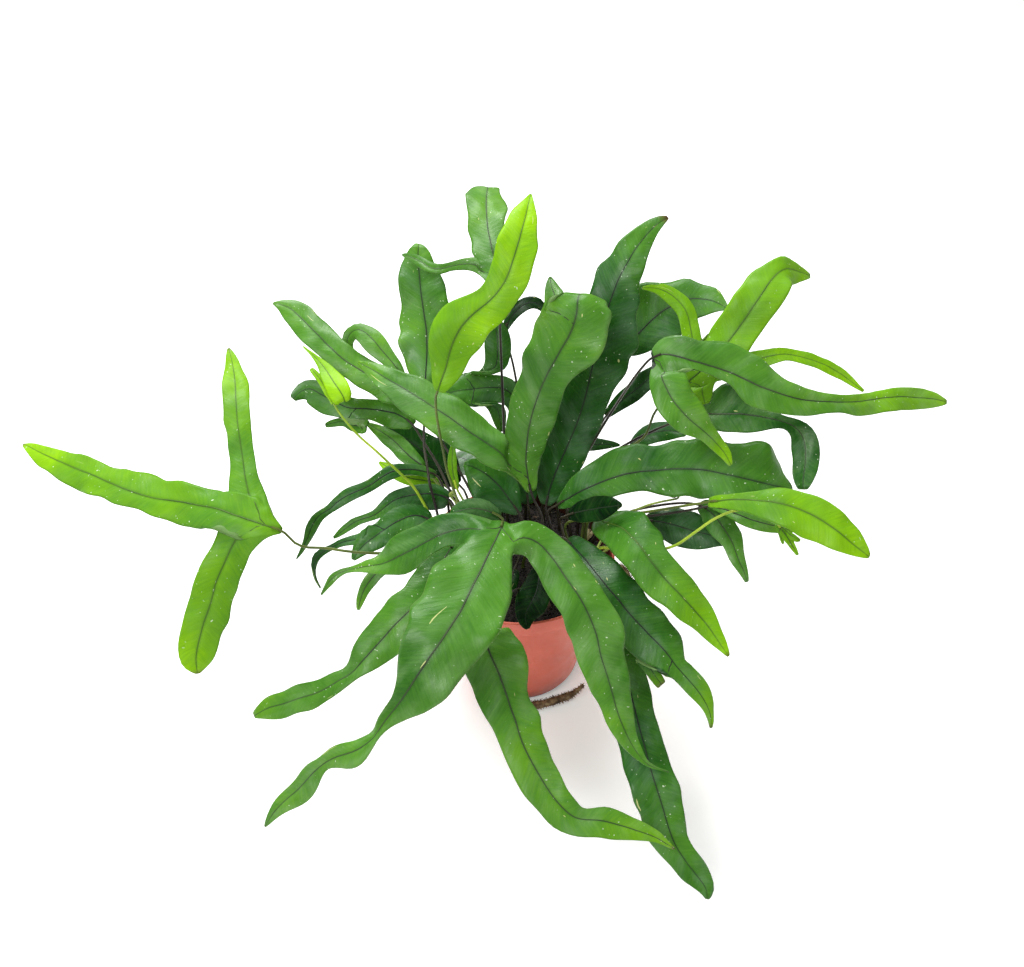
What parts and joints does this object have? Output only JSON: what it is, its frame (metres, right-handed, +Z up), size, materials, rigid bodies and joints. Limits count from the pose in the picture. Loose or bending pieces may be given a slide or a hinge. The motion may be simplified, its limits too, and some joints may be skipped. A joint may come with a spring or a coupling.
{
  "type": "potted fern",
  "caption": "Potted fern: long, leathery, lobed and wavy fronds on wiry stipes, rising from furry creeping rhizomes in a small plastic nursery pot filled with soil.",
  "frame": {"origin": "centre of the pot's underside, on the surface it stands on", "axes": "+Z up; -Y towards the viewer of the reference picture; +X to that viewer's right"},
  "size_m": [0.5493, 0.372, 0.3125],
  "materials": {
    "pot_plastic": "smooth terracotta-coloured injection-moulded plastic, satin, a little darker to the foot",
    "soil": "dark damp potting mix with bark chips, rough and matt",
    "rhizome_fur": "brown furry scales over a woody creeping stem",
    "dried_stem": "pale dried stipe stubs, fibrous",
    "crozier": "pale yellow-green young coiled fronds, satin",
    "frond_dark": "dark green leathery blade, glossy, with a near-black midrib",
    "frond_mid": "mid green leathery blade, glossy, quilted between side veins, with a dark midrib",
    "frond_bright": "young yellow-green leathery blade, glossy, with a dark midrib"
  },
  "bodies": {
    "root": {"pot": "pot_plastic", "soil": "soil", "rhizome_front": "rhizome_fur", "rhizome_right": "rhizome_fur", "dried_stipes": "dried_stem", "crozier_right_upper": "crozier", "crozier_right_lower": "crozier", "crozier_left": "crozier", "frond_front_left": "frond_mid", "frond_left_shade": "frond_dark", "frond_crown_hump": "frond_mid", "frond_far_left": "frond_bright", "frond_back_bright": "frond_bright", "frond_back_tall": "frond_mid", "frond_back_left": "frond_dark", "frond_left_long": "frond_mid", "frond_centre": "frond_mid", "frond_left_young": "frond_bright", "frond_left_upper_dark": "frond_dark", "frond_left_upper_green": "frond_mid", "frond_left_narrow": "frond_dark", "frond_left_yellow_under": "frond_bright", "frond_left_dark": "frond_dark", "frond_left_low_dark": "frond_dark", "frond_left_hanging": "frond_mid", "frond_front_left_under": "frond_mid", "frond_front": "frond_mid", "frond_front_right": "frond_dark", "frond_right_low_dark": "frond_dark", "frond_right_low": "frond_bright", "frond_centre_dark": "frond_dark", "frond_back_wavy": "frond_dark", "frond_right_bright": "frond_bright", "frond_right_arching": "frond_mid", "frond_right_grey": "frond_mid", "frond_right_glossy": "frond_dark", "frond_right_young": "frond_bright", "frond_right_star": "frond_bright", "frond_right_pale": "frond_mid", "frond_right_under_dark": "frond_dark", "frond_right_hanging": "frond_mid", "frond_crown_small": "frond_dark", "frond_crown_left_deep": "frond_dark", "frond_soil_left": "frond_dark", "frond_back_arch": "frond_dark", "frond_back_dark": "frond_dark", "frond_crown_dark": "frond_dark", "frond_rolled": "frond_bright", "frond_crossing": "frond_dark", "frond_behind_right": "frond_dark", "frond_behind_narrow": "frond_dark", "frond_soil_front": "frond_dark", "frond_back_low_left": "frond_dark", "frond_back_low_right": "frond_dark"}
  },
  "joints": []
}
